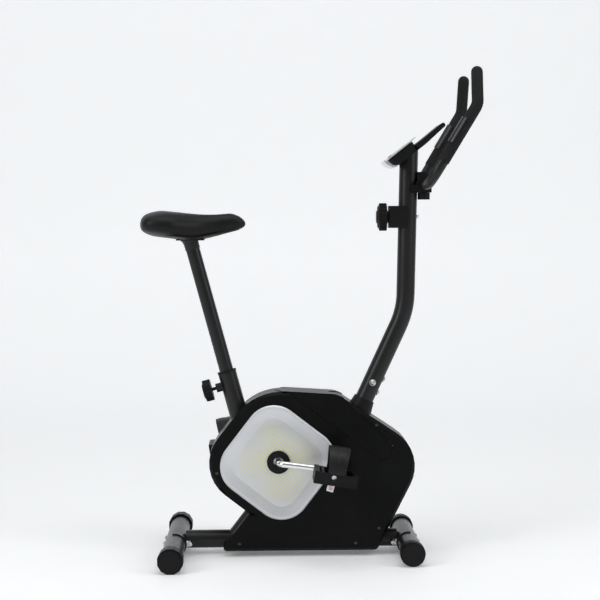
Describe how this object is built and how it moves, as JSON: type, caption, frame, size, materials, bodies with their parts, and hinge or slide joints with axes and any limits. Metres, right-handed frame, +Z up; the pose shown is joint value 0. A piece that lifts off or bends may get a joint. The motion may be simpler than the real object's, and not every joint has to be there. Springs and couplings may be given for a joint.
{
  "type": "exercise bike",
  "caption": "Upright magnetic exercise bike: black frame and shell with silver side plates, chrome cranks, strapped pedals, height-adjustable saddle, tilting U-bar and console.",
  "frame": {"origin": "on the floor, under the middle of the bike's overall length and width", "axes": "+X forward towards the handlebar, +Y to the rider's left, +Z up"},
  "size_m": [0.8197, 0.46, 1.1809],
  "materials": {
    "black_paint": "satin black powder coat",
    "dark_paint": "satin black powder coat, slightly greyer",
    "zinc": "bright zinc plating",
    "black_plastic": "fine-grained black moulded plastic",
    "shell_plastic": "semi-gloss black moulded plastic",
    "silver_plastic": "silver-lacquered plastic with a bright rim",
    "dark_steel": "blackened steel",
    "bearing_steel": "bright turned steel",
    "display_window": "clear window over a grey display",
    "belt_rubber": "ribbed drive belt",
    "chrome_steel": "mirror chrome plating",
    "pulley_plastic": "glass-filled black plastic",
    "wheel_iron": "turned cast iron",
    "strap_rubber": "satin moulded rubber",
    "saddle_cover": "smooth black vinyl over foam",
    "grip_foam": "matt closed-cell foam",
    "sensor_steel": "brushed stainless contact plate",
    "red_plastic": "glossy red plastic"
  },
  "bodies": {
    "frame": {"base_rail": "black_paint", "rear_strut": "black_paint", "seat_tube": "black_paint", "crank_shell": "black_paint", "cross_tube": "black_paint", "post_stub": "black_paint", "flywheel_carrier": "black_paint", "rear_stabiliser": "dark_paint", "front_stabiliser": "dark_paint", "stabiliser_bolts": "zinc", "seat_bush": "black_plastic", "housing_right": "shell_plastic", "housing_left": "shell_plastic", "top_fairing": "shell_plastic", "side_plate_right": "silver_plastic", "side_plate_left": "silver_plastic", "hub_covers": "black_plastic", "housing_screws": "dark_steel", "post_boot": "black_plastic", "handlebar_post": "black_paint", "post_bolts": "zinc", "tension_housing": "black_plastic", "tension_cable": "black_plastic", "bearings": "bearing_steel", "idler_arm": "dark_steel", "handlebar_clamp": "black_plastic", "clamp_cover": "black_plastic", "console_back": "black_plastic", "console_bezel": "silver_plastic", "console_lens": "display_window", "tablet_rest": "black_plastic", "speed_sensor": "black_plastic", "drive_belt": "belt_rubber"},
    "crank_set": {"crank": "chrome_steel", "drive_pulley": "pulley_plastic", "pedal_spindles": "bearing_steel"},
    "wheel_set": {"flywheel": "wheel_iron", "flywheel_shaft": "bearing_steel", "flywheel_pulley": "pulley_plastic"},
    "idler": {"idler_wheel": "bearing_steel"},
    "magnet_carrier": {"magnet_bracket": "bearing_steel", "magnets": "dark_steel"},
    "right_pedal": {"pedal_right": "black_plastic", "strap_right": "strap_rubber"},
    "left_pedal": {"pedal_left": "black_plastic", "strap_left": "strap_rubber"},
    "seat": {"seat_post": "black_paint", "saddle_base": "black_plastic", "saddle": "saddle_cover"},
    "seat_pin": {"seat_knob": "black_plastic"},
    "bar": {"handlebar": "black_paint", "grips": "grip_foam", "pulse_sensors": "sensor_steel"},
    "bar_lock": {"clamp_knob": "black_plastic"},
    "resistance_knob": {"tension_knob": "black_plastic"},
    "mode_button": {"console_button": "red_plastic"},
    "transport_wheel_right": {"front_wheel_right": "black_plastic"},
    "transport_wheel_left": {"front_wheel_left": "black_plastic"},
    "levelling_cap_right": {"rear_cap_right": "black_plastic"},
    "levelling_cap_left": {"rear_cap_left": "black_plastic"}
  },
  "joints": [
    {"name": "flywheel_spin", "type": "hinge", "parent": "frame", "child": "wheel_set", "pos_m": [0.122, 0, 0.192], "axis": [0, 1, 0], "continuous": true},
    {"name": "crank_spin", "type": "hinge", "parent": "frame", "child": "crank_set", "pos_m": [-0.078, 0, 0.233], "axis": [0, 1, 0], "continuous": true},
    {"name": "idler_spin", "type": "hinge", "parent": "frame", "child": "idler", "pos_m": [0.03439, 0, 0.14198], "axis": [0, 1, 0], "continuous": true},
    {"name": "pedal_right_spin", "type": "hinge", "parent": "crank_set", "child": "right_pedal", "pos_m": [0.05116, -0.155, 0.21828], "axis": [0, 1, 0], "continuous": true},
    {"name": "pedal_left_spin", "type": "hinge", "parent": "crank_set", "child": "left_pedal", "pos_m": [-0.20716, 0.155, 0.24772], "axis": [0, 1, 0], "continuous": true},
    {"name": "seat_height", "type": "slide", "parent": "frame", "child": "seat", "axis": [-0.2588, 0, 0.9659], "range_m": [-0.125, 0.05]},
    {"name": "seat_pin_pull", "type": "slide", "parent": "frame", "child": "seat_pin", "axis": [-0.9659, 0, -0.2588], "range_m": [-0.009, 0.003]},
    {"name": "handlebar_tilt", "type": "hinge", "parent": "frame", "child": "bar", "pos_m": [0.282, 0, 0.904], "axis": [0, 1, 0], "range_deg": [-15, 15]},
    {"name": "clamp_knob_turn", "type": "hinge", "parent": "frame", "child": "bar_lock", "pos_m": [0.282, 0, 0.875], "axis": [0, 0, 1], "range_deg": [0, 180]},
    {"name": "tension_knob_turn", "type": "hinge", "parent": "frame", "child": "resistance_knob", "pos_m": [0.18, 0, 0.827], "axis": [1, 0, 0], "range_deg": [0, 270]},
    {"name": "magnet_swing", "type": "hinge", "parent": "frame", "child": "magnet_carrier", "pos_m": [0.09146, -0.036, 0.30598], "axis": [0, -1, 0], "range_deg": [0, 3]},
    {"name": "mode_button_press", "type": "slide", "parent": "frame", "child": "mode_button", "axis": [0.6157, 0, -0.788], "range_m": [0, 0.0012], "stiffness_N_per_m": 600},
    {"name": "front_wheel_right_roll", "type": "hinge", "parent": "frame", "child": "transport_wheel_right", "pos_m": [0.238, -0.161, 0.03], "axis": [0, 1, 0], "continuous": true},
    {"name": "front_wheel_left_roll", "type": "hinge", "parent": "frame", "child": "transport_wheel_left", "pos_m": [0.238, 0.161, 0.03], "axis": [0, 1, 0], "continuous": true},
    {"name": "rear_cap_right_turn", "type": "hinge", "parent": "frame", "child": "levelling_cap_right", "pos_m": [-0.332, -0.211, 0.03], "axis": [0, 1, 0], "range_deg": [0, 90]},
    {"name": "rear_cap_left_turn", "type": "hinge", "parent": "frame", "child": "levelling_cap_left", "pos_m": [-0.332, 0.211, 0.03], "axis": [0, 1, 0], "range_deg": [0, 90]}
  ],
  "couplings": [
    {"joint": "crank_spin", "follows": "flywheel_spin", "ratio": 0.16667},
    {"joint": "idler_spin", "follows": "flywheel_spin", "ratio": -0.9375},
    {"joint": "magnet_swing", "follows": "tension_knob_turn", "ratio": 0.011111}
  ]
}
